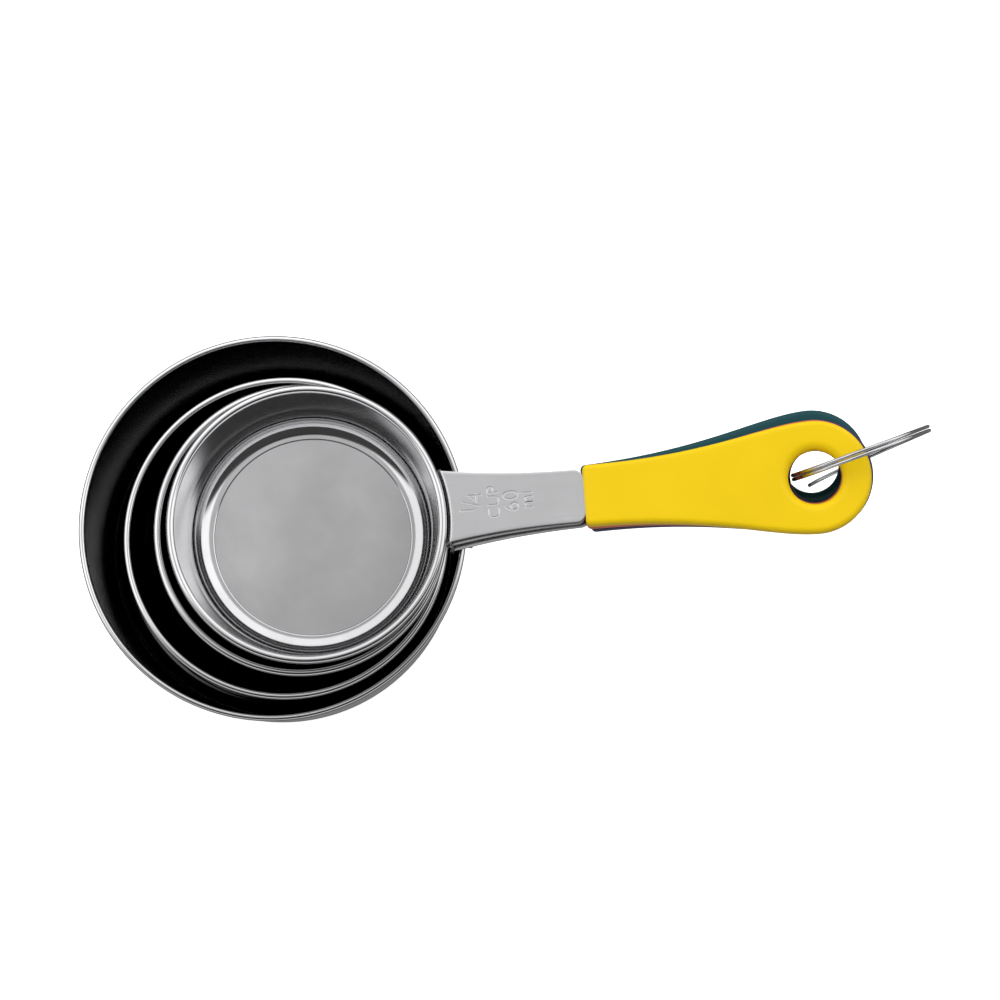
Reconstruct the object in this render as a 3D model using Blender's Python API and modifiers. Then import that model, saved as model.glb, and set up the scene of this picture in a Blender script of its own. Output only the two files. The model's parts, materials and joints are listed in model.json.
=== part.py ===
"""Nesting set of four measuring cups held together by a spring-wire ring.

Each cup is a drawn steel bowl with a rolled rim, a flat steel tang welded under the rim and a
coloured plastic sleeve moulded over the end of the tang.  The cups nest in one another, smallest
on top, and a split ring runs through the eyes of the four sleeves.

Frame: origin at the centre of the largest bowl's flat underside, +Z up, +X along its handle.
"""
import math

import bmesh
import bpy
from mathutils import Matrix, Vector

MM = 0.001

# Steel bowls
SHEET = 0.5 * MM                 # thickness of the drawn steel
FOOT_FILLET = 4.4 * MM           # inside radius between wall and floor
LARGEST_DEPTH = 42.5 * MM        # inside depth of the one-cup bowl, rim to floor
BOWL_STEPS = 40
FILLET_STEPS = 4
BEAD_STEPS = 3                   # steps in a quarter of the rolled edge

# Nested stack
PITCH = 5.3 * MM                 # height from one handle to the next
GAP = 0.3 * MM                   # working clearance between separate pieces

# Steel tangs
TANG_THICK = 1.2 * MM
TANG_DROP = 2.3 * MM             # rim's top down to the tang's top face
TAB_BOTTOM = 5.0 * MM            # rim's top down to the lower edge of the turned-down tab
TANG_SHIFT = 0.25 * MM           # sideways set of the tang's neck against the sleeve
NECK_HALF_AT_BOWL = 9.0 * MM
NECK_HALF_AT_SLEEVE = 6.15 * MM
SHOULDER_RADIUS = 2.2 * MM
TONGUE_HALF = 4.0 * MM
TONGUE_END = -14.0 * MM          # end of the tongue, measured from the eye
ANCHOR_X = -40.0 * MM            # hole that the moulding flows through
ANCHOR_RADIUS = 2.0 * MM

# Plastic sleeves
SLEEVE_THICK = 5.0 * MM
SLEEVE_EDGE = 1.8 * MM           # rounding of all its edges
SLEEVE_INNER_END = -54.0 * MM    # the end that faces the bowl, measured from the eye
SLEEVE_HALF = 7.15 * MM          # half its width at that end
EYE_OUTER = 13.15 * MM
EYE_HOLE = 6.3 * MM
FLARE_FROM_EYE = 11.3 * MM       # how long the outline keeps the eye's width
FLARE_FROM_NECK = 30.0 * MM      # how long it keeps the neck's width

# Split ring
WIRE = 0.9 * MM                  # wire diameter
RING_RADIUS = 16.9 * MM          # ring centre to wire centre
RING_CENTRE_X = 139.4 * MM
RING_CENTRE_Y = 0.9 * MM
RING_YAW = math.radians(14.4)    # ring plane against +X
RING_LEAN = math.radians(8.5)    # ring plane against the vertical
RING_START = math.radians(-143)  # the free end lies low, inside the eyes
RING_SWEEP = math.radians(678)
RING_LEAD = 1.0 * MM             # sideways travel of the wire in one turn
RING_FLARE = 1.8 * MM            # how far the free end springs out sideways
RING_FLARE_TURNS = 0.45
RING_STEP = math.radians(12)


class Cup:
    """Sizes and nested position of one cup."""

    def __init__(self, name, level, rim, mouth, foot, depth, centre, eye, skew, colour):
        self.name = name
        self.rim_z = SHEET + LARGEST_DEPTH + level * PITCH
        self.rim = rim * MM              # outside radius of the rolled rim
        self.mouth = mouth * MM          # inside radius at the rim
        self.foot = foot * MM            # inside radius where the wall meets the fillet
        self.depth = depth * MM
        self.centre = Vector((*centre, 0.0)) * MM
        self.eye = Vector((*eye, 0.0)) * MM       # centre of the sleeve's eye in plan
        reach = self.eye - self.centre
        self.reach = reach.length - self.rim      # rim to the centre of the eye
        self.yaw = math.atan2(reach.y, reach.x) + math.radians(skew)
        self.colour = colour

    @property
    def bead(self):
        """Radius of the rolled edge."""
        return (self.rim - self.mouth) / 2

    @property
    def floor_z(self):
        """Height of the inside floor."""
        return self.rim_z - self.depth

    @property
    def tang_z(self):
        """Mid-height of the tang and of its sleeve."""
        return self.rim_z - TANG_DROP - TANG_THICK / 2

    def wall_radius(self, z):
        """Outside radius of the bowl's wall at height z."""
        top = self.rim_z - self.bead
        foot_z = self.floor_z + FOOT_FILLET
        return SHEET + self.foot + (self.mouth - self.foot) * (z - foot_z) / (top - foot_z)


GREEN = (0.012, 0.065, 0.075, 1.0)
PURPLE = (0.045, 0.040, 0.095, 1.0)
ORANGE = (0.680, 0.160, 0.060, 1.0)
YELLOW = (0.895, 0.610, 0.006, 1.0)

# The skew is how many degrees a handle is set off the line from the bowl's axis to its eye.
CUPS = (
    Cup("one", 0, 45.8, 44.2, 41.2, 42.5, (0.0, 0.0), (127.6, 0.4), 0.8, GREEN),
    Cup("half", 1, 38.2, 36.5, 32.7, 32.7, (3.2, -3.5), (128.6, -2.8), -0.4, PURPLE),
    Cup("third", 2, 34.5, 32.6, 29.4, 27.3, (7.1, -2.8), (127.9, -3.6), -0.6, ORANGE),
    Cup("quarter", 3, 32.9, 30.9, 28.1, 23.0, (8.9, -2.35), (128.08, -4.65), -0.75, YELLOW),
)
RING_CENTRE = Vector((RING_CENTRE_X, RING_CENTRE_Y, sum(c.tang_z for c in CUPS) / len(CUPS)))


# ---------------------------------------------------------------- scene helpers

def clear_scene():
    for old in list(bpy.data.objects):
        bpy.data.objects.remove(old, do_unlink=True)


def new_collection(name):
    collection = bpy.data.collections.new(name)
    bpy.context.scene.collection.children.link(collection)
    return collection


def make_material(name, colour, metallic, roughness):
    material = bpy.data.materials.new(name)
    material.use_nodes = True
    shader = material.node_tree.nodes["Principled BSDF"]
    shader.inputs["Base Color"].default_value = colour
    shader.inputs["Metallic"].default_value = metallic
    shader.inputs["Roughness"].default_value = roughness
    material.diffuse_color = colour
    return material


def mesh_of(curve_object):
    """Turn a curve object into a welded mesh object in the same place and collection."""
    depsgraph = bpy.context.evaluated_depsgraph_get()
    mesh = bpy.data.meshes.new_from_object(curve_object.evaluated_get(depsgraph))
    name = curve_object.name
    collection = curve_object.users_collection[0]
    matrix = curve_object.matrix_world.copy()
    bpy.data.objects.remove(curve_object, do_unlink=True)
    work = bmesh.new()
    work.from_mesh(mesh)
    bmesh.ops.remove_doubles(work, verts=work.verts, dist=0.005 * MM)
    bmesh.ops.recalc_face_normals(work, faces=work.faces)
    work.to_mesh(mesh)
    work.free()
    piece = bpy.data.objects.new(name, mesh)
    piece.matrix_world = matrix
    collection.objects.link(piece)
    return piece


def flat_piece(name, outlines, thickness, collection):
    """An extruded flat outline; the first outline is the edge and the others are holes."""
    curve = bpy.data.curves.new(name, "CURVE")
    curve.dimensions = "2D"
    curve.fill_mode = "BOTH"
    curve.extrude = thickness / 2
    for outline in outlines:
        spline = curve.splines.new("POLY")
        spline.points.add(len(outline) - 1)
        for point, (x, y) in zip(spline.points, outline):
            point.co = (x, y, 0.0, 1.0)
        spline.use_cyclic_u = True
    piece = bpy.data.objects.new(name, curve)
    collection.objects.link(piece)
    bpy.context.view_layer.update()
    return mesh_of(piece)


def cylinder(name, radius_low, radius_high, z_low, z_high, centre, collection, segments=BOWL_STEPS):
    mesh = bpy.data.meshes.new(name)
    work = bmesh.new()
    bmesh.ops.create_cone(work, cap_ends=True, segments=segments, radius1=radius_low,
                          radius2=radius_high, depth=z_high - z_low)
    work.to_mesh(mesh)
    work.free()
    piece = bpy.data.objects.new(name, mesh)
    piece.location = (centre[0], centre[1], (z_low + z_high) / 2)
    collection.objects.link(piece)
    return piece


def as_cutter(piece):
    piece.hide_render = True
    piece.display_type = "WIRE"
    return piece


def cut(piece, cutter):
    modifier = piece.modifiers.new("cut_" + cutter.name, "BOOLEAN")
    modifier.operation = "DIFFERENCE"
    modifier.solver = "EXACT"
    modifier.object = cutter


def arc(cx, cy, radius, start, stop, steps):
    """Points of an arc, both ends included; angles in degrees."""
    angles = [math.radians(start + (stop - start) * i / steps) for i in range(steps + 1)]
    return [(cx + radius * math.cos(a), cy + radius * math.sin(a)) for a in angles]


def bezier(p0, p1, p2, p3, steps):
    """Points of a cubic curve after its start point."""
    points = []
    for i in range(1, steps + 1):
        t = i / steps
        s = 1 - t
        weights = (s ** 3, 3 * s * s * t, 3 * s * t * t, t ** 3)
        points.append(tuple(sum(w * p[k] for w, p in zip(weights, (p0, p1, p2, p3))) for k in (0, 1)))
    return points


def mirrored(side):
    """Close an outline from its +Y side, given from one end of the X axis to the other."""
    return side + [(x, -y) for x, y in reversed(side) if abs(y) > 1e-9]


def attach(piece, parent):
    piece.parent = parent
    piece.matrix_parent_inverse = parent.matrix_world.inverted()


# ---------------------------------------------------------------- pieces

def bowl_profile(cup):
    """Half section (r, z) from the inside floor's centre, over the rim, to the underside."""
    bead = cup.bead
    bead_r = cup.mouth + bead
    bead_z = cup.rim_z - bead
    arc_r = cup.foot - FOOT_FILLET
    arc_z = cup.floor_z + FOOT_FILLET
    under_bead = -math.degrees(math.acos((SHEET - bead) / bead))
    points = [(0.0, cup.floor_z)]
    points += arc(arc_r, arc_z, FOOT_FILLET, -90, 0, FILLET_STEPS)
    points += arc(bead_r, bead_z, bead, 180, 90, BEAD_STEPS)
    points += arc(bead_r, bead_z, bead, 90, under_bead, 2 * BEAD_STEPS)[1:]
    points += arc(arc_r, arc_z, FOOT_FILLET + SHEET, 0, -90, FILLET_STEPS)
    points.append((0.0, cup.floor_z - SHEET))
    return points


def make_bowl(cup, collection, steel):
    name = cup.name + "_cup_bowl"
    mesh = bpy.data.meshes.new(name)
    work = bmesh.new()
    chain = [work.verts.new((r, 0.0, z)) for r, z in bowl_profile(cup)]
    for first, second in zip(chain, chain[1:]):
        work.edges.new((first, second))
    work.to_mesh(mesh)
    work.free()
    mesh.materials.append(steel)
    piece = bpy.data.objects.new(name, mesh)
    piece.location = cup.centre
    collection.objects.link(piece)
    screw = piece.modifiers.new("turn", "SCREW")
    screw.axis = "Z"
    screw.angle = math.tau
    screw.steps = BOWL_STEPS
    screw.render_steps = BOWL_STEPS
    screw.use_merge_vertices = True
    screw.merge_threshold = 0.01 * MM
    screw.use_smooth_shade = True
    return piece


def tang_outline(cup):
    """Neck, shoulders and tongue, with X measured from the eye; the bowl end is cut round."""
    bowl_x = -cup.reach - cup.bead
    inside_bowl_x = bowl_x - 3 * MM
    shoulder_x = SLEEVE_INNER_END - GAP
    waist_x = shoulder_x - 1.5 * MM
    edge = [(inside_bowl_x, NECK_HALF_AT_BOWL), (bowl_x, NECK_HALF_AT_BOWL)]
    edge += bezier((bowl_x, NECK_HALF_AT_BOWL), (bowl_x + 7 * MM, 7.4 * MM),
                   (waist_x - 15 * MM, NECK_HALF_AT_SLEEVE), (waist_x, NECK_HALF_AT_SLEEVE), 7)
    edge += arc(shoulder_x - SHOULDER_RADIUS, NECK_HALF_AT_SLEEVE - SHOULDER_RADIUS,
                SHOULDER_RADIUS, 80, 10, 3)
    upper = [(x, y + TANG_SHIFT) for x, y in edge]
    lower = [(x, TANG_SHIFT - y) for x, y in reversed(edge)]
    tongue = [(shoulder_x, TONGUE_HALF)]
    tongue += arc(TONGUE_END - TONGUE_HALF, 0.0, TONGUE_HALF, 90, -90, 8)
    tongue.append((shoulder_x, -TONGUE_HALF))
    return upper + tongue + lower


def make_tang(cup, collection, cutters, steel):
    name = cup.name + "_cup_tang"
    top = cup.rim_z - TANG_DROP
    low = cup.rim_z - TAB_BOTTOM
    piece = flat_piece(name, [tang_outline(cup)], top - low, collection)
    piece.data.materials.append(steel)
    piece.location = (cup.eye.x, cup.eye.y, (top + low) / 2)
    piece.rotation_euler.z = cup.yaw

    margin = 2 * MM
    wall_low = cup.wall_radius(low - margin) + GAP
    wall_high = cup.wall_radius(top + margin) + GAP
    bowl_room = cylinder(name + "_bowl_room", wall_low, wall_high, low - margin, top + margin,
                         cup.centre, cutters)
    cut(piece, as_cutter(bowl_room))

    tab_outer = cup.wall_radius(low) + GAP + TANG_THICK
    beyond = cup.rim + cup.reach + EYE_OUTER
    under = flat_piece(name + "_under", [arc(0.0, 0.0, beyond, 0, 355, 71),
                                         arc(0.0, 0.0, tab_outer, 0, 355, 71)],
                       top - TANG_THICK - low + margin, cutters)
    under.location = cup.centre
    under.location.z = (top - TANG_THICK + low - margin) / 2
    cut(piece, as_cutter(under))

    anchor = cup.eye + Matrix.Rotation(cup.yaw, 3, "Z") @ Vector((ANCHOR_X, 0.0, 0.0))
    hole = cylinder(name + "_anchor_hole", ANCHOR_RADIUS, ANCHOR_RADIUS, low - margin, top + margin,
                    anchor, cutters, 16)
    cut(piece, as_cutter(hole))
    return piece


def sleeve_outline():
    """Pear-shaped outline round the eye, with X measured from the eye."""
    half = arc(0.0, 0.0, EYE_OUTER, 0, 90, 7)
    half += bezier((0.0, EYE_OUTER), (-FLARE_FROM_EYE, EYE_OUTER),
                   (SLEEVE_INNER_END + FLARE_FROM_NECK, SLEEVE_HALF),
                   (SLEEVE_INNER_END, SLEEVE_HALF), 8)
    return mirrored(half)


def make_pocket(cup, cutters):
    """Room for the tongue inside the sleeve, with the moulded post left standing in it."""
    name = cup.name + "_sleeve_pocket"
    half = TONGUE_HALF + GAP
    end = TONGUE_END + GAP
    mouth_x = SLEEVE_INNER_END - SLEEVE_EDGE
    outline = [(mouth_x, -half), (mouth_x, half)]
    outline += arc(end - half, 0.0, half, 90, -90, 8)
    pocket = flat_piece(name, [outline, arc(ANCHOR_X, 0.0, ANCHOR_RADIUS - GAP, 0, 337.5, 15)],
                        TANG_THICK + 2 * GAP, cutters)
    pocket.location = (cup.eye.x, cup.eye.y, cup.tang_z)
    pocket.rotation_euler.z = cup.yaw
    return as_cutter(pocket)


def make_sleeve(cup, collection, cutters):
    name = cup.name + "_cup_sleeve"
    hole = arc(0.0, 0.0, EYE_HOLE, 0, 345, 23)
    piece = flat_piece(name, [sleeve_outline(), hole], SLEEVE_THICK, collection)
    piece.data.materials.append(make_material(name + "_plastic", cup.colour, 0.0, 0.32))
    piece.location = (cup.eye.x, cup.eye.y, cup.tang_z)
    piece.rotation_euler.z = cup.yaw
    rounding = piece.modifiers.new("rounding", "BEVEL")
    rounding.width = SLEEVE_EDGE
    rounding.segments = 2
    rounding.limit_method = "ANGLE"
    rounding.angle_limit = math.radians(50)
    rounding.use_clamp_overlap = False
    cut(piece, make_pocket(cup, cutters))
    return piece


def ring_point(angle):
    """Centre of the wire at an angle along it, in the ring's own frame (its axis is Z)."""
    turns = (angle - RING_START) / math.tau
    sideways = RING_LEAD * (RING_SWEEP / math.tau / 2 - turns)
    left = max(0.0, 1 - turns / RING_FLARE_TURNS)
    sideways += RING_FLARE * left * left
    return (RING_RADIUS * math.cos(angle), RING_RADIUS * math.sin(angle), sideways)


def ring_rotation():
    """Local X along the ring plane, local Y up in it, local Z along the ring's axis."""
    along = Vector((math.cos(RING_YAW), math.sin(RING_YAW), 0.0))
    side = Vector((-math.sin(RING_YAW), math.cos(RING_YAW), 0.0))
    up = Vector((0.0, 0.0, 1.0))
    leaning_up = up * math.cos(RING_LEAN) - side * math.sin(RING_LEAN)
    axis = along.cross(leaning_up)
    return Matrix((along, leaning_up, axis)).transposed()


def make_ring(collection, steel):
    curve = bpy.data.curves.new("split_ring", "CURVE")
    curve.dimensions = "3D"
    curve.bevel_depth = WIRE / 2
    curve.bevel_resolution = 2
    curve.use_fill_caps = True
    count = round(RING_SWEEP / RING_STEP) + 1
    spline = curve.splines.new("POLY")
    spline.points.add(count - 1)
    for i, point in enumerate(spline.points):
        angle = RING_START + RING_SWEEP * i / (count - 1)
        point.co = (*ring_point(angle), 1.0)
    piece = bpy.data.objects.new("split_ring", curve)
    collection.objects.link(piece)
    piece.matrix_world = Matrix.LocRotScale(RING_CENTRE, ring_rotation().to_quaternion(), None)
    bpy.context.view_layer.update()
    piece = mesh_of(piece)
    piece.data.materials.append(steel)
    return piece


def smooth(piece):
    piece.data.shade_smooth()
    piece.data.set_sharp_from_angle(angle=math.radians(35))


def main():
    clear_scene()
    parts = new_collection("measuring_cup_set")
    cutters = new_collection("cutters")
    bowl_steel = make_material("drawn_steel", (0.62, 0.62, 0.63, 1.0), 1.0, 0.24)
    tang_steel = make_material("brushed_steel", (0.58, 0.58, 0.60, 1.0), 1.0, 0.36)
    wire_steel = make_material("spring_wire", (0.66, 0.66, 0.67, 1.0), 1.0, 0.18)

    carrier = None
    for cup in CUPS:
        pieces = [make_bowl(cup, parts, bowl_steel),
                  make_tang(cup, parts, cutters, tang_steel),
                  make_sleeve(cup, parts, cutters)]
        for piece in pieces[1:]:
            smooth(piece)
        if cup is not CUPS[0]:
            pivot = bpy.data.objects.new(cup.name + "_cup_swing", None)
            pivot.location = RING_CENTRE
            parts.objects.link(pivot)
            bpy.context.view_layer.update()
            if carrier:
                attach(pivot, carrier)
            for piece in pieces:
                attach(piece, pivot)
            carrier = pivot

    smooth(make_ring(parts, wire_steel))
    bpy.context.view_layer.update()


main()
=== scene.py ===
"""Looks of a nesting set of four measuring cups held together by a spring-wire ring.

Laid out as an add-on: property groups hold the sizes and colours, and one operator makes each
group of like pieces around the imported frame.  All lengths are metres in the frame's own axes:
+Z up and +X along the handles.
"""
import json
import math

import bmesh
import bpy
from bpy.props import FloatProperty, FloatVectorProperty, IntProperty, PointerProperty
from mathutils import Matrix, Vector


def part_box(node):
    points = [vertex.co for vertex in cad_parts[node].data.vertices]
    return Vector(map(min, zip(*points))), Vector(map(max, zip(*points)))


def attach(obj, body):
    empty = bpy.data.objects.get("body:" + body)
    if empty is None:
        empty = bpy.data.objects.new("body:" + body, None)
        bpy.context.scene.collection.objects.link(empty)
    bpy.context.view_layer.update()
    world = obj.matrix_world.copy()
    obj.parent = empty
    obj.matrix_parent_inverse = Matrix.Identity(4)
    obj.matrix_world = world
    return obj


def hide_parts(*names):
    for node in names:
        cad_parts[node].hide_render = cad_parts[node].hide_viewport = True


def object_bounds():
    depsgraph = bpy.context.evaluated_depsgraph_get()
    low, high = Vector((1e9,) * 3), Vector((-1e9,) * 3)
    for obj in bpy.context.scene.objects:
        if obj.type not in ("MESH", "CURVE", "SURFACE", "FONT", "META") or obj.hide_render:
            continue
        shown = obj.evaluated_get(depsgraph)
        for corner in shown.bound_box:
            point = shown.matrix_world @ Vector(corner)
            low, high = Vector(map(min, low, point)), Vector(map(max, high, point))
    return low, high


bl_info = {
    "name": "Nesting Measuring Cups",
    "version": (1, 0, 0),
    "blender": (4, 5, 0),
    "location": "3D View > Sidebar > Measuring Cups",
    "description": "Makes the steel bowls, stamped tangs, moulded sleeves and ring of a cup set",
    "category": "Object",
}

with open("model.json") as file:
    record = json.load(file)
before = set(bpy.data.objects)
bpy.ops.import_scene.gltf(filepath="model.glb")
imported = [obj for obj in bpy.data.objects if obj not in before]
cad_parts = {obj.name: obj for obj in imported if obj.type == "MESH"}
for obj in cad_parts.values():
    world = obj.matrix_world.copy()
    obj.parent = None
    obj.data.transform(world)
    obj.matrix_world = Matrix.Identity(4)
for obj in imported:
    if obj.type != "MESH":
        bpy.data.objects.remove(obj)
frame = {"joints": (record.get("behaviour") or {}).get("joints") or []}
CAD_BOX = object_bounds()

MM = 0.001
EYE_OUTER = 13.15 * MM             # outside radius of a sleeve round its eye


class Cup:
    """One cup's own sizes, and the places that its three pieces have in the frame."""

    def __init__(self, name, mouth, foot, skew, share, volume, plastic):
        self.name = name
        self.body = name + "_cup"
        self.mouth = mouth * MM          # inside radius at the rim
        self.foot = foot * MM            # inside radius where the wall meets the floor's fillet
        self.share = share               # of a cup, as stamped on the tang
        self.volume = volume             # in millilitres, as stamped on the tang
        self.plastic = plastic
        low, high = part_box(self.node("bowl"))
        self.centre = Vector(((low.x + high.x) / 2, (low.y + high.y) / 2, 0.0))
        self.rim = (high.x - low.x) / 2
        self.rim_z = high.z
        self.underside_z = low.z
        low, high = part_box(self.node("sleeve"))
        self.eye = Vector((high.x - EYE_OUTER, (low.y + high.y) / 2, 0.0))
        self.sleeve_z = (low.z + high.z) / 2
        self.sleeve_half = (high.z - low.z) / 2
        low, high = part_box(self.node("tang"))
        self.tang_top = high.z
        self.tab_bottom = low.z
        handle = self.eye - self.centre
        self.yaw = math.atan2(handle.y, handle.x) + math.radians(skew)
        self.axis = Matrix.Rotation(-self.yaw, 3, "Z") @ -handle    # bowl's axis, from the eye

    @property
    def bead(self):
        """Radius of the rolled rim."""
        return (self.rim - self.mouth) / 2

    def node(self, part):
        return f"{self.name}_cup_{part}"


CUPS = (
    Cup("one", 44.2, 41.2, 0.8, ("1",), "240", "green"),
    Cup("half", 36.5, 32.7, -0.4, ("1", "2"), "120", "purple"),
    Cup("third", 32.6, 29.4, -0.6, ("1", "3"), "80", "orange"),
    Cup("quarter", 30.9, 28.1, -0.75, ("1", "4"), "60", "yellow"),
)


# ---------------------------------------------------------------- settings

def length(name, description, millimetres):
    return FloatProperty(name=name, description=description, default=millimetres * MM,
                         precision=5, unit="LENGTH")


def colour(name, description, value):
    return FloatVectorProperty(name=name, description=description, default=value, size=3,
                               min=0.0, max=1.0, subtype="COLOR")


class BowlSizes(bpy.types.PropertyGroup):
    """Sizes of the drawn bowls"""

    sheet: length("Sheet", "Thickness of the drawn steel", 0.5)
    fillet: length("Fillet", "Inside radius between wall and floor", 4.4)
    curl_slit: length("Curl slit", "Gap between the curl's end and the wall", 0.08)
    groove: length("Floor groove", "Width of the pressed line round the floor", 0.35)
    groove_depth: length("Groove depth", "Depth of the pressed line", 0.09)
    turn_steps: IntProperty(name="Turn steps", description="Facets round a bowl", default=144)


class TangSizes(bpy.types.PropertyGroup):
    """Sizes of the flat steel tangs and of their stamped marks"""

    thick: length("Thickness", "Thickness of the tang", 1.2)
    room: length("Bowl room", "Gap between the tab and the bowl's wall", 0.05)
    bend: length("Bend", "Outside radius of the turned-down tab's bend", 1.5)
    half_at_bowl: length("Half width at bowl", "Half the neck's width at the bowl", 9.0)
    half_at_sleeve: length("Half width at sleeve", "Half the neck's width at the sleeve", 6.15)
    shift: length("Shift", "Sideways set of the neck against the sleeve", 0.25)
    shoulder: length("Shoulder", "Corner radius beside the sleeve", 2.2)
    edge: length("Edge", "Softening of the sheared edges", 0.22)
    stroke_slope: FloatProperty(name="Stroke slope", default=0.72,
                                description="Depth over width of a stamped stroke's walls")
    stroke_wall: length("Stroke wall", "Width of a stamped stroke's wall", 0.13)


class SleeveSizes(bpy.types.PropertyGroup):
    """Sizes of the moulded plastic sleeves"""

    inner_end: length("Inner end", "The end that faces the bowl, from the eye", -54.0)
    half_width: length("Half width", "Half the width at the inner end", 7.15)
    eye_hole: length("Eye hole", "Radius of the eye's hole", 6.3)
    eye_flare: length("Eye flare", "How long the outline keeps the eye's width", 11.3)
    neck_flare: length("Neck flare", "How long the outline keeps the neck's width", 30.0)
    edge: length("Edge", "Rounding of the outer edges", 1.15)
    hole_edge: length("Hole edge", "Rounding of the hole's edges", 2.1)
    corner: length("Corner", "Corner radius at the inner end", 1.2)
    parting: length("Parting line", "Height of the mould's parting line", 0.05)


class RingSizes(bpy.types.PropertyGroup):
    """Sizes of the spring-wire ring"""

    wire: length("Wire", "Diameter of the wire", 0.9)
    radius: length("Radius", "Ring's centre to the wire's centre", 16.9)
    lead: length("Lead", "Sideways travel of the wire in one turn", 1.0)
    flare: length("Flare", "How far the free end springs out sideways", 1.8)
    start: FloatProperty(name="Start", description="Where the free end lies",
                         default=math.radians(-143), subtype="ANGLE")
    sweep: FloatProperty(name="Sweep", description="Angle that the wire winds through",
                         default=math.radians(678), subtype="ANGLE")
    yaw: FloatProperty(name="Yaw", description="Ring's plane against the handles",
                       default=math.radians(14.4), subtype="ANGLE")
    lean: FloatProperty(name="Lean", description="Ring's plane against the vertical",
                        default=math.radians(8.5), subtype="ANGLE")


class Finishes(bpy.types.PropertyGroup):
    """Colours of the metals and plastics"""

    bowl: colour("Bowl steel", "Colour of the drawn bowls", (0.62, 0.62, 0.63))
    tang: colour("Tang steel", "Colour of the tangs", (0.60, 0.60, 0.61))
    wire: colour("Wire steel", "Colour of the ring's wire", (0.50, 0.50, 0.51))
    green: colour("Green", "Plastic of the one-cup sleeve", (0.012, 0.065, 0.075))
    purple: colour("Purple", "Plastic of the half-cup sleeve", (0.045, 0.040, 0.095))
    orange: colour("Orange", "Plastic of the third-cup sleeve", (0.680, 0.160, 0.060))
    yellow: colour("Yellow", "Plastic of the quarter-cup sleeve", (0.895, 0.610, 0.006))


class StageSettings(bpy.types.PropertyGroup):
    """Camera, floor and studio light"""

    distance: length("Distance", "Camera to the point it looks at", 2000.0)
    view_width: length("View width", "Width that the camera sees at that distance", 235.0)
    target: FloatVectorProperty(name="Target", description="Point that the camera looks at",
                                default=(0.0540, 0.0004, 0.0430), size=3, subtype="TRANSLATION")
    tilt_right: FloatProperty(name="Tilt right", description="Camera's tilt to its right",
                              default=math.radians(2.8), subtype="ANGLE")
    tilt_front: FloatProperty(name="Tilt front", description="Camera's tilt to the front",
                              default=math.radians(8.1), subtype="ANGLE")
    turn: FloatProperty(name="Turn", description="Turn of the handles in the picture",
                        default=math.radians(6.54), subtype="ANGLE")
    overhead: FloatProperty(name="Overhead", description="Brightness straight above", default=0.74)
    softbox: FloatProperty(name="Softbox", description="Brightness all round", default=1.7)
    horizon: FloatProperty(name="Horizon", description="Brightness at the horizon", default=1.0)
    ground: FloatProperty(name="Ground", description="Brightness from below", default=0.22)
    flag: FloatProperty(name="Flag", description="Share of light left by the front flag",
                        default=0.04)


# ---------------------------------------------------------------- mesh helpers

def arc(cx, cy, radius, start, stop, steps):
    """Points of an arc, both ends included; angles in degrees."""
    angles = [math.radians(start + (stop - start) * i / steps) for i in range(steps + 1)]
    return [(cx + radius * math.cos(a), cy + radius * math.sin(a)) for a in angles]


def bezier(p0, p1, p2, p3, steps):
    """Points of a cubic curve after its start point."""
    points = []
    for i in range(1, steps + 1):
        t = i / steps
        s = 1 - t
        weights = (s ** 3, 3 * s * s * t, 3 * s * t * t, t ** 3)
        points.append(tuple(sum(w * p[k] for w, p in zip(weights, (p0, p1, p2, p3))) for k in (0, 1)))
    return points


def new_piece(name, mesh):
    piece = bpy.data.objects.new(name, mesh)
    bpy.context.scene.collection.objects.link(piece)
    return piece


def finished_mesh(name, work, weld=0.001 * MM):
    """The bmesh as a welded mesh with its faces pointing out."""
    bmesh.ops.remove_doubles(work, verts=work.verts, dist=weld)
    bmesh.ops.recalc_face_normals(work, faces=work.faces)
    mesh = bpy.data.meshes.new(name)
    work.to_mesh(mesh)
    work.free()
    return mesh


def turned(name, section, steps):
    """A half section of (radius, height) points turned round the Z axis."""
    work = bmesh.new()
    chain = [work.verts.new((r, 0.0, z)) for r, z in section]
    edges = [work.edges.new(pair) for pair in zip(chain, chain[1:])]
    bmesh.ops.spin(work, geom=chain + edges, axis=(0, 0, 1), cent=(0, 0, 0), angle=math.tau,
                   steps=steps, use_merge=True)
    return finished_mesh(name, work)


def lofted(name, rows, closed_across, closed_along, capped=False):
    """A skin over rows of equal numbers of points."""
    work = bmesh.new()
    grid = [[work.verts.new(point) for point in row] for row in rows]
    lower = grid if closed_along else grid[:-1]
    for i, row in enumerate(lower):
        following = grid[(i + 1) % len(grid)]
        count = len(row) if closed_across else len(row) - 1
        for j in range(count):
            k = (j + 1) % len(row)
            work.faces.new((row[j], row[k], following[k], following[j]))
    if capped:
        work.faces.new(reversed(grid[0]))
        work.faces.new(grid[-1])
    return finished_mesh(name, work)


def flattened(piece):
    """Applies the piece's modifiers, so that its mesh is the final one."""
    bpy.context.view_layer.update()
    depsgraph = bpy.context.evaluated_depsgraph_get()
    mesh = bpy.data.meshes.new_from_object(piece.evaluated_get(depsgraph))
    piece.modifiers.clear()
    piece.data = mesh
    return piece


def shaded(piece, degrees=35):
    piece.data.shade_smooth()
    piece.data.set_sharp_from_angle(angle=math.radians(degrees))


def placed(piece, cup, origin, height):
    """Puts the piece at a point of the cup, turned with its handle."""
    piece.location = (origin.x, origin.y, height)
    piece.rotation_euler.z = cup.yaw


def stand_for(piece, node, body):
    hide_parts(node)
    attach(piece, body)


# ---------------------------------------------------------------- material helpers

SHADE_DARKEST_SKY = 0.10                    # share of open sky at which the painted shade in a recess is darkest
SHADE_FREE_SKY = 0.36                      # and at which the painted shade stops, leaving the full colour


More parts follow.
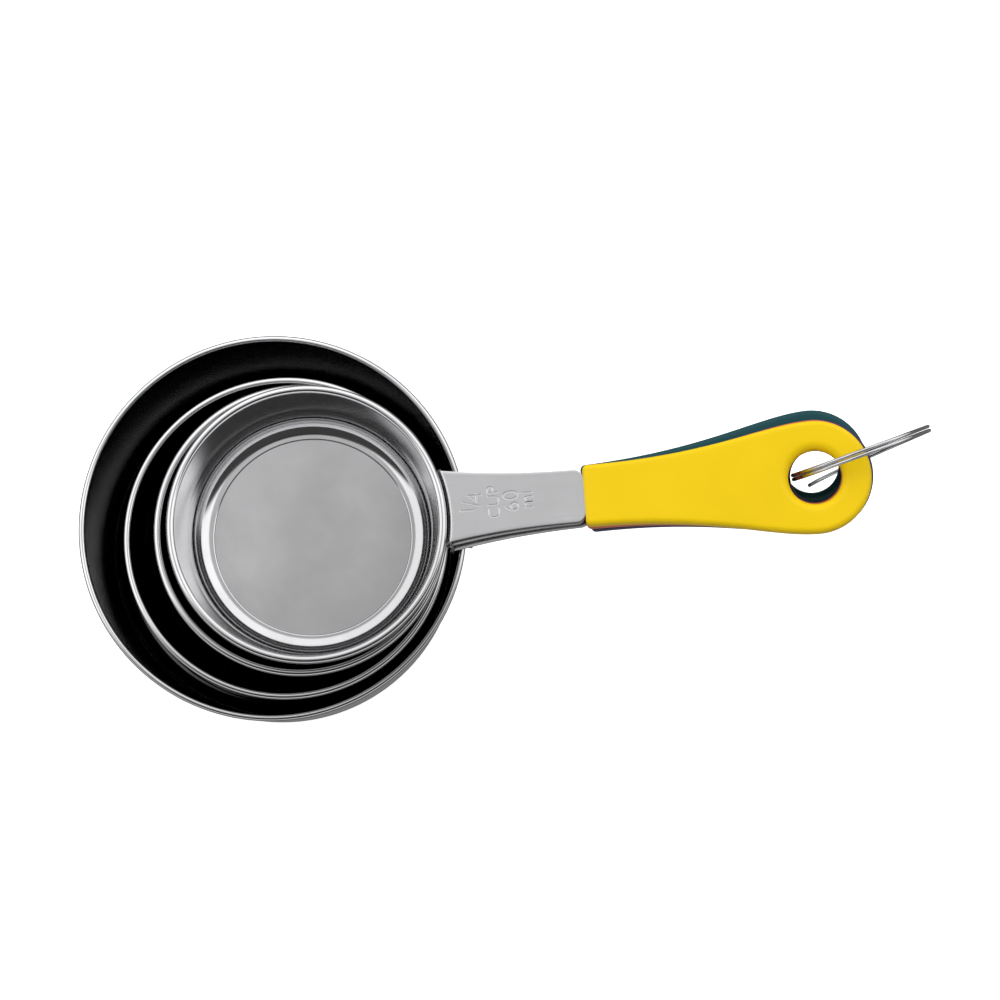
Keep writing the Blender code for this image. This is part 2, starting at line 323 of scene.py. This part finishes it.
class Finish:
    """A node material with one Principled shader, and short ways to add nodes to it."""

    def __init__(self, name, base, metallic, roughness):
        self.material = bpy.data.materials.new(name)
        self.material.use_nodes = True
        self.tree = self.material.node_tree
        self.shader = self.tree.nodes["Principled BSDF"]
        self.shader.inputs["Base Color"].default_value = (*base, 1.0)
        self.shader.inputs["Metallic"].default_value = metallic
        self.shader.inputs["Roughness"].default_value = roughness
        self.base = base

    def node(self, kind, inputs=(), **settings):
        made = self.tree.nodes.new("ShaderNode" + kind)
        for name, value in settings.items():
            setattr(made, name, value)
        for key, value in dict(inputs).items():
            if isinstance(value, bpy.types.NodeSocket):
                self.tree.links.new(value, made.inputs[key])
            else:
                made.inputs[key].default_value = value
        return made

    def math(self, operation, first, second=0.0):
        return self.node("Math", {0: first, 1: second}, operation=operation).outputs[0]

    def place(self):
        """Position on the piece, in metres from its own origin."""
        return self.node("TexCoord").outputs["Object"]

    def stretched(self, scale):
        return self.node("Mapping", {"Vector": self.place(), "Scale": scale}).outputs["Vector"]

    def noise(self, vector, scale, detail=3.0, roughness=0.5):
        made = self.node("TexNoise", {"Vector": vector, "Scale": scale, "Detail": detail,
                                      "Roughness": roughness})
        return made.outputs["Fac"]

    def spread(self, value, low, high):
        """A 0 to 1 value mapped to a range."""
        made = self.node("MapRange", {"Value": value, "To Min": low, "To Max": high})
        return made.outputs["Result"]

    def vary_colour(self, value, lightest, darkest):
        """Base colour between two shares of itself."""
        ramp = self.node("ValToRGB", {"Fac": value})
        ends = ramp.color_ramp.elements
        ends[0].position, ends[1].position = 0.3, 0.7
        ends[0].color = (*[c * darkest for c in self.base], 1.0)
        ends[1].color = (*[min(1.0, c * lightest) for c in self.base], 1.0)
        self.tree.links.new(ramp.outputs["Color"], self.shader.inputs["Base Color"])

    def paint_recess_shade(self, reach, darkest):
        """Painted shade: darkens the base colour where little of the sky reaches, as in the gaps
        between nested bowls.
        """
        open_sky = self.node("AmbientOcclusion", {"Distance": reach}, samples=6).outputs["AO"]
        share = self.node("MapRange", {"Value": open_sky, "From Min": SHADE_DARKEST_SKY,
                                       "From Max": SHADE_FREE_SKY, "To Min": darkest}).outputs["Result"]
        source = self.shader.inputs["Base Color"].links[0].from_socket
        painted_shade = self.node("VectorMath", {0: source, "Scale": share}, operation="SCALE")
        self.tree.links.new(painted_shade.outputs["Vector"], self.shader.inputs["Base Color"])

    def vary_roughness(self, value, low, high):
        self.tree.links.new(self.spread(value, low, high), self.shader.inputs["Roughness"])

    def raise_surface(self, height, strength, distance):
        bump = self.node("Bump", {"Height": height, "Strength": strength, "Distance": distance})
        self.tree.links.new(bump.outputs["Normal"], self.shader.inputs["Normal"])


PAINTED_LIGHT_UP = 7.0                       # painted light: rise of the bowl steel's colour per metre along Y, lighter towards the back
PAINTED_LIGHT_ALONG = -3.0                   # and its change per metre along X, darker towards the handles


def drawn_steel(colour_value):
    """Drawn and spun bowl steel: fine rings round the axis under a bright polish, with painted shade
    in its recesses and a painted light gradient across its colour.
    """
    finish = Finish("drawn_steel", colour_value, 1.0, 0.16)
    parts = finish.node("SeparateXYZ", {"Vector": finish.place()})
    x, y, z = parts.outputs
    radius = finish.math("SQRT", finish.math("ADD", finish.math("MULTIPLY", x, x),
                                             finish.math("MULTIPLY", y, y)))
    along = finish.math("MULTIPLY_ADD", finish.math("ADD", radius, z), 1.0)
    rings = finish.node("TexNoise", {"W": along, "Scale": 2600.0, "Detail": 3.0},
                        noise_dimensions="1D").outputs["Fac"]
    cloud = finish.noise(finish.place(), 45.0)
    finish.vary_roughness(finish.math("ADD", finish.math("MULTIPLY", rings, 0.5),
                                      finish.math("MULTIPLY", cloud, 0.5)), 0.07, 0.17)
    # Painted light: a colour gradient across each bowl, added to the random tone of the cloud.
    painted_light = finish.math("ADD", finish.math("MULTIPLY", y, PAINTED_LIGHT_UP),
                        finish.math("MULTIPLY", x, PAINTED_LIGHT_ALONG))
    finish.vary_colour(finish.math("ADD", cloud, painted_light), 1.03, 0.78)
    # Painted shade: base colour down to 0.12 of itself where nested bowls hide the sky, within 60 mm.
    finish.paint_recess_shade(60 * MM, 0.12)
    finish.raise_surface(rings, 0.05, 0.03 * MM)
    return finish.material


def brushed_steel(colour_value):
    """Sheared strip, brushed along the handle."""
    finish = Finish("brushed_steel", colour_value, 1.0, 0.24)
    grain = finish.noise(finish.stretched((40.0, 3500.0, 3500.0)), 1.0, 2.0)
    cloud = finish.noise(finish.place(), 120.0)
    finish.vary_roughness(grain, 0.18, 0.30)
    finish.vary_colour(cloud, 1.02, 0.97)
    finish.raise_surface(grain, 0.06, 0.02 * MM)
    return finish.material


def spring_wire(colour_value):
    """Hard-drawn spring wire with faint marks from the die."""
    finish = Finish("spring_wire", colour_value, 1.0, 0.14)
    marks = finish.noise(finish.place(), 1800.0, 2.0)
    finish.vary_roughness(marks, 0.09, 0.20)
    finish.vary_colour(finish.noise(finish.place(), 160.0), 1.03, 0.94)
    finish.raise_surface(marks, 0.04, 0.02 * MM)
    return finish.material


def sleeve_plastic(name, colour_value):
    """Glossy moulded plastic with a very fine orange peel."""
    finish = Finish(name + "_plastic", colour_value, 0.0, 0.3)
    peel = finish.noise(finish.place(), 650.0, 2.0)
    cloud = finish.noise(finish.place(), 70.0, 2.0)
    finish.vary_roughness(peel, 0.26, 0.36)
    finish.vary_colour(cloud, 1.02, 0.97)
    finish.raise_surface(peel, 0.08, 0.03 * MM)
    finish.shader.inputs["Specular IOR Level"].default_value = 0.12
    return finish.material


# ---------------------------------------------------------------- bowls

WALL_LINES = (0.06, 0.17, 0.3)       # heights of the lines left in the wall by the drawing die


def bowl_section(cup, sizes):
    """Half section from the floor's middle, up the wall, over the curled rim and back under."""
    floor = cup.underside_z + sizes.sheet
    fillet_r = cup.foot - sizes.fillet
    fillet_z = floor + sizes.fillet
    curl_r = cup.mouth + cup.bead
    curl_z = cup.rim_z - cup.bead
    curl_end = -math.degrees(math.acos((sizes.sheet + sizes.curl_slit) / cup.bead - 1))
    section = [(fillet_r * share, floor) for share in (0.0, 0.3, 0.6, 0.85)]
    section.append((fillet_r - sizes.groove * 1.5, floor))
    section.append((fillet_r - sizes.groove, floor - sizes.groove_depth))
    section.append((fillet_r - sizes.groove * 0.5, floor))
    section += arc(fillet_r, fillet_z, sizes.fillet, -90, 0, 14)
    for share in WALL_LINES:
        line_r = cup.foot + (cup.mouth - cup.foot) * share
        line_z = fillet_z + (curl_z - fillet_z) * share
        section.append((line_r, line_z - sizes.groove / 2))
        section.append((line_r + sizes.groove_depth, line_z))
        section.append((line_r, line_z + sizes.groove / 2))
    section += arc(curl_r, curl_z, cup.bead, 180, curl_end, 26)
    section += arc(curl_r, curl_z, cup.bead - sizes.sheet, curl_end, 180, 20)
    section += arc(fillet_r, fillet_z, sizes.fillet + sizes.sheet, 0, -90, 14)
    section.append((0.0, floor - sizes.sheet))
    return section


class CUPSET_OT_draw_bowls(bpy.types.Operator):
    """Draw the four steel bowls with their curled rims"""

    bl_idname = "cupset.draw_bowls"
    bl_label = "Draw bowls"

    def execute(self, context):
        sizes = context.scene.cupset_bowl
        steel = drawn_steel(context.scene.cupset_finish.bowl)
        for cup in CUPS:
            mesh = turned(cup.name + "_bowl", bowl_section(cup, sizes), sizes.turn_steps)
            piece = new_piece(cup.name + "_bowl", mesh)
            mesh.materials.append(steel)
            shaded(piece, 20)
            piece.location = cup.centre
            stand_for(piece, cup.node("bowl"), cup.body)
        return {"FINISHED"}


# ---------------------------------------------------------------- tangs

ACROSS = [i / 10 - 1 for i in range(21)]       # places across a tang, edge to edge
STRAIGHTEN = 12.0 * MM                         # length in which its rows turn from round to straight
TONGUE_HALF = 4.0 * MM
TONGUE_END = -14.0 * MM
MARK_LINES = (                                 # middle from the eye, and letter size
    (-80.3 * MM, 6.2 * MM),
    (-75.1 * MM, 4.1 * MM),
    (-71.0 * MM, 5.4 * MM),
    (-67.3 * MM, 4.5 * MM),
)
CUTTER_HALF = 0.3 * MM                         # half the height of a letter's cutter
FRACTION_SIZE = 0.85                           # of the line's letter size
FRACTION_STEP = (1.45 * MM, 0.95 * MM)         # sideways and up, from the slash to each figure


def neck_edge(cup, sizes, end):
    """(x, half width) along the neck from the bowl to the shoulder, X measured from the eye."""
    start = cup.axis.x + cup.mouth
    waist = end - 1.5 * MM
    line = [(start, sizes.half_at_bowl)]
    line += bezier(line[0], (start + 7 * MM, 7.4 * MM), (waist - 15 * MM, sizes.half_at_sleeve),
                   (waist, sizes.half_at_sleeve), 24)[:-2]
    line += arc(end - sizes.shoulder, sizes.half_at_sleeve - sizes.shoulder, sizes.shoulder, 90, 4, 8)
    return line


def half_width(line, x):
    """Half the neck's width at x, read off its edge line."""
    for (x0, y0), (x1, y1) in zip(line, line[1:]):
        if x0 <= x <= x1:
            return y0 + (y1 - y0) * (x - x0) / (x1 - x0)
    return line[0][1] if x < line[0][0] else line[-1][1]


def tang_rows(cup, sizes, end):
    """Rows of points over the outside of the tab, round its bend and along the neck."""
    line = neck_edge(cup, sizes, end)
    top_wall = cup.mouth + 0.5 * MM
    outer = top_wall + sizes.room + sizes.thick      # distance of the tab's outside from the axis
    inner = outer + sizes.bend * 0.15
    bend_z = cup.tang_top - sizes.bend
    path = [(outer, cup.tab_bottom), (outer, (cup.tab_bottom + bend_z) / 2)]
    path += [(outer + sizes.bend * (1 - math.cos(a)), bend_z + sizes.bend * math.sin(a))
             for a in [math.radians(90 * i / 8) for i in range(9)]]
    rows = []
    for distance, z in path:
        row = []
        for w in ACROSS:
            y = sizes.shift + w * half_width(line, cup.axis.x + distance)
            row.append((cup.axis.x + math.sqrt(distance ** 2 - (y - cup.axis.y) ** 2), y, z))
        rows.append(row)
    flat_start = path[-1][0]
    flat_x = cup.axis.x + flat_start
    for x, half in [p for p in line if p[0] > flat_x + 0.3 * MM]:
        fade = max(0.0, 1 - (x - flat_x) / STRAIGHTEN) ** 2
        row = []
        for w in ACROSS:
            y = sizes.shift + w * half
            sag = (flat_start - math.sqrt(flat_start ** 2 - (y - cup.axis.y) ** 2)) * fade
            row.append((x - sag, y, cup.tang_top))
        rows.append(row)
    tongue = [(end + 0.1 * MM, TONGUE_HALF), (TONGUE_END - TONGUE_HALF, TONGUE_HALF)]
    tongue += arc(TONGUE_END - TONGUE_HALF, 0.0, TONGUE_HALF, 75, 5, 5)
    for x, half in tongue:
        rows.append([(x, w * half, cup.tang_top) for w in ACROSS])
    return rows


def mark_cutter(text, size, sizes):
    """One word as a cutter whose stroke walls slope in towards the bottom."""
    words = bpy.data.curves.new("mark", "FONT")
    words.body = text
    words.size = size
    words.align_x = "CENTER"
    words.align_y = "CENTER"
    words.resolution_u = 3
    words.extrude = CUTTER_HALF
    words.bevel_depth = sizes.stroke_wall
    words.bevel_resolution = 0
    words.offset = -sizes.stroke_wall
    cutter = new_piece("mark", words)
    bpy.context.view_layer.update()
    mesh = bpy.data.meshes.new_from_object(cutter.evaluated_get(
        bpy.context.evaluated_depsgraph_get()))
    bpy.data.objects.remove(cutter, do_unlink=True)
    work = bmesh.new()
    work.from_mesh(mesh)
    bmesh.ops.remove_doubles(work, verts=work.verts, dist=0.004 * MM)
    bmesh.ops.recalc_face_normals(work, faces=work.faces)
    work.to_mesh(mesh)
    work.free()
    return new_piece("mark", mesh)


def mark_cutters(cup, sizes):
    """Cutters for a cup's stamped capacity, each turned to read up across the handle."""
    cutters = []
    lines = (cup.share, "CUP", cup.volume, "ml")
    for (x, size), text in zip(MARK_LINES, lines):
        if isinstance(text, str) or len(text) == 1:
            words = [("".join(text), size, 0.0, 0.0)]
        else:
            step, rise = FRACTION_STEP
            small = size * FRACTION_SIZE
            words = [(text[0], small, -step, rise), ("/", size, 0.0, 0.0),
                     (text[1], small, step, -rise)]
        for word, word_size, along, up in words:
            cutter = mark_cutter(word, word_size, sizes)
            cutter.location = (x - up, sizes.shift + along,
                               cup.tang_top + CUTTER_HALF * sizes.stroke_slope)
            cutter.rotation_euler.z = math.radians(90)
            cutter.scale.z = sizes.stroke_slope
            cutters.append(cutter)
    return cutters


class CUPSET_OT_stamp_tangs(bpy.types.Operator):
    """Bend the four steel tangs and stamp each cup's capacity into them"""

    bl_idname = "cupset.stamp_tangs"
    bl_label = "Stamp tangs"

    def execute(self, context):
        sizes = context.scene.cupset_tang
        end = context.scene.cupset_sleeve.inner_end
        steel = brushed_steel(context.scene.cupset_finish.tang)
        for cup in CUPS:
            name = cup.name + "_tang"
            piece = new_piece(name, lofted(name, tang_rows(cup, sizes, end), False, False))
            thick = piece.modifiers.new("thick", "SOLIDIFY")
            thick.thickness = sizes.thick
            thick.offset = -1.0
            thick.use_even_offset = True
            soft = piece.modifiers.new("soft_edge", "BEVEL")
            soft.width = sizes.edge
            soft.segments = 3
            soft.limit_method = "ANGLE"
            soft.angle_limit = math.radians(60)
            flattened(piece)
            cutters = mark_cutters(cup, sizes)
            for cutter in cutters:
                stamp = piece.modifiers.new("stamp", "BOOLEAN")
                stamp.operation = "DIFFERENCE"
                stamp.solver = "EXACT"
                stamp.object = cutter
            flattened(piece)
            for cutter in cutters:
                bpy.data.objects.remove(cutter, do_unlink=True)
            piece.data.materials.clear()
            piece.data.materials.append(steel)
            shaded(piece, 25)
            placed(piece, cup, cup.eye, 0.0)
            stand_for(piece, cup.node("tang"), cup.body)
        return {"FINISHED"}


# ---------------------------------------------------------------- sleeves

def sleeve_outline(sizes):
    """Pear-shaped outline round the eye, anticlockwise from its far end; X from the eye."""
    half = arc(0.0, 0.0, EYE_OUTER, 0, 90, 22)
    corner_x = sizes.inner_end + sizes.corner
    half += bezier((0.0, EYE_OUTER), (-sizes.eye_flare, EYE_OUTER),
                   (sizes.inner_end + sizes.neck_flare, sizes.half_width),
                   (corner_x, sizes.half_width), 30)
    half += arc(corner_x, sizes.half_width - sizes.corner, sizes.corner, 90, 180, 6)[1:]
    side = sizes.half_width - sizes.corner
    half += [(sizes.inner_end, side * share) for share in (0.66, 0.33, 0.0)]
    return half + [(x, -y) for x, y in reversed(half[1:-1])]


def outward(points):
    """Unit normals of a closed anticlockwise outline."""
    normals = []
    for i, _ in enumerate(points):
        (x0, y0), (x1, y1) = points[i - 1], points[(i + 1) % len(points)]
        size = math.hypot(x1 - x0, y1 - y0)
        normals.append(((y1 - y0) / size, (x0 - x1) / size))
    return normals


def sleeve_rows(cup, sizes):
    """Rings of points from the middle of the hole's wall, over the top face, to the underside."""
    outline = sleeve_outline(sizes)
    normals = outward(outline)
    hole = [(x / math.hypot(x, y), y / math.hypot(x, y)) for x, y in outline]
    half = cup.sleeve_half
    top = []
    for i in range(9):
        a = math.radians(90 * i / 8)
        radius = sizes.eye_hole + sizes.hole_edge * (1 - math.cos(a))
        z = half - sizes.hole_edge * (1 - math.sin(a))
        top.append([(radius * c, radius * s, z) for c, s in hole])
    inner_ring = top[-1]
    edge_ring = [(x - nx * sizes.edge, y - ny * sizes.edge)
                 for (x, y), (nx, ny) in zip(outline, normals)]
    for i in range(1, 6):
        t = i / 6
        top.append([(a[0] * (1 - t) + b[0] * t, a[1] * (1 - t) + b[1] * t, half)
                    for a, b in zip(inner_ring, edge_ring)])
    for i in range(7):
        a = math.radians(90 * i / 6)
        inset = sizes.edge * (1 - math.sin(a))
        z = half - sizes.edge * (1 - math.cos(a))
        top.append([(x - nx * inset, y - ny * inset, z) for (x, y), (nx, ny) in zip(outline, normals)])
    line = [(x + nx * sizes.parting, y + ny * sizes.parting, 0.0)
            for (x, y), (nx, ny) in zip(outline, normals)]
    foot = [(x, y, 0.15 * MM) for x, y in outline]
    bottom = [[(x, y, -z) for x, y, z in row] for row in reversed(top + [foot])]
    return top + [foot, line] + bottom


class CUPSET_OT_mould_sleeves(bpy.types.Operator):
    """Mould the four coloured sleeves over the tangs"""

    bl_idname = "cupset.mould_sleeves"
    bl_label = "Mould sleeves"

    def execute(self, context):
        sizes = context.scene.cupset_sleeve
        for cup in CUPS:
            name = cup.name + "_sleeve"
            piece = new_piece(name, lofted(name, sleeve_rows(cup, sizes), True, True))
            shade = getattr(context.scene.cupset_finish, cup.plastic)
            piece.data.materials.append(sleeve_plastic(cup.plastic, shade))
            shaded(piece)
            placed(piece, cup, cup.eye, cup.sleeve_z)
            stand_for(piece, cup.node("sleeve"), cup.body)
        return {"FINISHED"}


# ---------------------------------------------------------------- ring

RING_STEP = math.radians(3)
RING_SIDES = 16
FLARE_TURNS = 0.45


def ring_line(sizes):
    """Middle line of the wire in the ring's own frame, whose axis is Z."""
    count = round(sizes.sweep / RING_STEP)
    points = []
    for i in range(count + 1):
        angle = sizes.start + sizes.sweep * i / count
        turns = (angle - sizes.start) / math.tau
        sideways = sizes.lead * (sizes.sweep / math.tau / 2 - turns)
        sideways += sizes.flare * max(0.0, 1 - turns / FLARE_TURNS) ** 2
        points.append(Vector((sizes.radius * math.cos(angle), sizes.radius * math.sin(angle),
                              sideways)))
    return points


def ring_rows(sizes):
    """Rings of points round the wire, drawn in to a rounded nose at both ends."""
    line = ring_line(sizes)
    rows = []
    nose = sizes.wire / 2
    stations = []
    for i, point in enumerate(line):
        along = (line[min(i + 1, len(line) - 1)] - line[max(i - 1, 0)]).normalized()
        stations.append((point, along, nose))
    tips = [(math.sin(a), math.cos(a)) for a in [math.radians(d) for d in (84, 66, 45, 22)]]
    first, first_along, _ = stations[0]
    last, last_along, _ = stations[-1]
    stations = ([(first - first_along * nose * s, first_along, nose * c) for s, c in tips] + stations
                + [(last + last_along * nose * s, last_along, nose * c) for s, c in reversed(tips)])
    for point, along, radius in stations:
        out = Vector((point.x, point.y, 0.0)).normalized()
        side = along.cross(out).normalized()
        out = side.cross(along)
        row = []
        for j in range(RING_SIDES):
            a = math.tau * j / RING_SIDES
            row.append(point + (out * math.cos(a) + side * math.sin(a)) * radius)
        rows.append(row)
    return rows


def ring_rotation(sizes):
    along = Vector((math.cos(sizes.yaw), math.sin(sizes.yaw), 0.0))
    side = Vector((-math.sin(sizes.yaw), math.cos(sizes.yaw), 0.0))
    up = Vector((0.0, 0.0, 1.0)) * math.cos(sizes.lean) - side * math.sin(sizes.lean)
    return Matrix((along, up, along.cross(up))).transposed()


class CUPSET_OT_wind_ring(bpy.types.Operator):
    """Wind the spring-wire ring through the eyes"""

    bl_idname = "cupset.wind_ring"
    bl_label = "Wind ring"

    def execute(self, context):
        sizes = context.scene.cupset_ring
        piece = new_piece("ring", lofted("ring", ring_rows(sizes), True, False, capped=True))
        piece.data.materials.append(spring_wire(context.scene.cupset_finish.wire))
        shaded(piece, 40)
        centre = next(j for j in frame["joints"] if j["name"] == "ring_turn")["pos_m"]
        piece.matrix_world = Matrix.LocRotScale(Vector(centre),
                                                ring_rotation(sizes).to_quaternion(), None)
        stand_for(piece, "split_ring", "ring")
        return {"FINISHED"}


# ---------------------------------------------------------------- stage

FLOOR_HALF = 6.0
FLOOR_GAP = 0.2 * MM
SENSOR = 36.0
PAPER = 0.92                         # brightness of the floor's paper
PAPER_GLOW = 0.8                     # own light of the paper, so that it shows no shadow
FLAG_EDGES = (-0.25, -0.10)          # where the front flag starts and ends, in the sky's Y
FLAG_HEIGHTS = (0.35, 0.45)          # and in its Z


def make_camera(settings):
    """Looks down on the set along the tilted view, the handles rising to the right."""
    back = Vector((math.tan(settings.tilt_right), -math.tan(settings.tilt_front), 1.0)).normalized()
    right = (Vector((1.0, 0.0, 0.0)) - back * back.x).normalized()
    axes = Matrix((right, back.cross(right), back)).transposed()
    axes = Matrix.Rotation(-settings.turn, 3, "Z") @ axes
    camera = bpy.data.cameras.new("camera")
    camera.sensor_width = SENSOR
    camera.lens = SENSOR * settings.distance / settings.view_width
    camera.clip_start = 0.1
    camera.clip_end = 30.0
    holder = bpy.data.objects.new("camera", camera)
    bpy.context.scene.collection.objects.link(holder)
    where = Vector(settings.target) + axes.col[2] * settings.distance
    holder.matrix_world = Matrix.LocRotScale(where, axes.to_quaternion(), None)
    bpy.context.scene.camera = holder


def make_floor():
    mesh = bpy.data.meshes.new("floor")
    work = bmesh.new()
    bmesh.ops.create_grid(work, x_segments=1, y_segments=1, size=FLOOR_HALF)
    work.to_mesh(mesh)
    work.free()
    floor = new_piece("floor", mesh)
    floor.location.z = CAD_BOX[0].z - FLOOR_GAP
    paper = Finish("floor_paper", (PAPER, PAPER, PAPER), 0.0, 0.9)
    paper.shader.inputs["Specular IOR Level"].default_value = 0.0
    paper.shader.inputs["Emission Color"].default_value = (1.0, 1.0, 1.0, 1.0)
    paper.shader.inputs["Emission Strength"].default_value = PAPER_GLOW
    mesh.materials.append(paper.material)
    floor.visible_glossy = False
    floor.visible_diffuse = False


def studio_sky(settings):
    """Soft light all round, greyer straight above, dark below, with a flag above the front."""
    world = bpy.data.worlds.new("studio")
    world.use_nodes = True
    bpy.context.scene.world = world
    tree = world.node_tree
    place = tree.nodes.new("ShaderNodeTexCoord")
    parts = tree.nodes.new("ShaderNodeSeparateXYZ")
    tree.links.new(place.outputs["Generated"], parts.inputs[0])
    rings = tree.nodes.new("ShaderNodeValToRGB")
    rings.color_ramp.interpolation = "EASE"
    stops = ((0.0, settings.ground), (0.48, settings.ground), (0.53, settings.horizon),
             (0.77, settings.softbox), (0.9625, settings.softbox), (0.9775, settings.overhead))
    ramp = rings.color_ramp.elements
    while len(ramp) < len(stops):
        ramp.new(1.0)
    for element, (position, value) in zip(ramp, stops):
        element.position = position
        element.color = (value / 2, value / 2, value / 2, 1.0)
    height = tree.nodes.new("ShaderNodeMapRange")
    height.inputs["From Min"].default_value = -1.0
    tree.links.new(parts.outputs["Z"], height.inputs["Value"])
    tree.links.new(height.outputs["Result"], rings.inputs["Fac"])
    front = tree.nodes.new("ShaderNodeMapRange")
    front.interpolation_type = "SMOOTHSTEP"
    front.inputs["From Min"].default_value, front.inputs["From Max"].default_value = FLAG_EDGES
    front.inputs["To Min"].default_value = settings.flag
    front.inputs["To Max"].default_value = 1.0
    tree.links.new(parts.outputs["Y"], front.inputs["Value"])
    low = tree.nodes.new("ShaderNodeMapRange")
    low.interpolation_type = "SMOOTHSTEP"
    low.inputs["From Min"].default_value, low.inputs["From Max"].default_value = FLAG_HEIGHTS
    tree.links.new(parts.outputs["Z"], low.inputs["Value"])
    flag = tree.nodes.new("ShaderNodeMix")
    tree.links.new(low.outputs["Result"], flag.inputs["Factor"])
    flag.inputs["A"].default_value = 1.0
    tree.links.new(front.outputs["Result"], flag.inputs["B"])
    light = tree.nodes.new("ShaderNodeMath")
    light.operation = "MULTIPLY"
    light.inputs[0].default_value = 2.0
    tree.links.new(flag.outputs["Result"], light.inputs[1])
    sky = tree.nodes["Background"]
    tree.links.new(rings.outputs["Color"], sky.inputs["Color"])
    tree.links.new(light.outputs["Value"], sky.inputs["Strength"])


class CUPSET_OT_set_stage(bpy.types.Operator):
    """Set up the camera, the pale floor and the studio light"""

    bl_idname = "cupset.set_stage"
    bl_label = "Set stage"

    def execute(self, context):
        settings = context.scene.cupset_stage
        make_camera(settings)
        make_floor()
        studio_sky(settings)
        context.scene.view_settings.view_transform = "Standard"
        context.scene.cycles.glossy_bounces = 2
        return {"FINISHED"}


# ---------------------------------------------------------------- add-on

class CUPSET_PT_panel(bpy.types.Panel):
    """Sidebar panel of the measuring cup set"""

    bl_label = "Measuring Cups"
    bl_space_type = "VIEW_3D"
    bl_region_type = "UI"
    bl_category = "Measuring Cups"

    def draw(self, context):
        for operator in OPERATORS:
            self.layout.operator(operator.bl_idname)


OPERATORS = (CUPSET_OT_set_stage, CUPSET_OT_draw_bowls, CUPSET_OT_stamp_tangs,
             CUPSET_OT_mould_sleeves, CUPSET_OT_wind_ring)
SETTINGS = {"cupset_stage": StageSettings, "cupset_bowl": BowlSizes, "cupset_tang": TangSizes,
            "cupset_sleeve": SleeveSizes, "cupset_ring": RingSizes, "cupset_finish": Finishes}


def register():
    for made in (*SETTINGS.values(), *OPERATORS, CUPSET_PT_panel):
        bpy.utils.register_class(made)
    for name, group in SETTINGS.items():
        setattr(bpy.types.Scene, name, PointerProperty(type=group))


def unregister():
    for name in SETTINGS:
        delattr(bpy.types.Scene, name)
    for made in reversed((*SETTINGS.values(), *OPERATORS, CUPSET_PT_panel)):
        bpy.utils.unregister_class(made)


def main():
    register()
    bpy.ops.cupset.set_stage()
    bpy.ops.cupset.draw_bowls()
    bpy.ops.cupset.stamp_tangs()
    bpy.ops.cupset.mould_sleeves()
    bpy.ops.cupset.wind_ring()


if __name__ == "__main__":
    main()
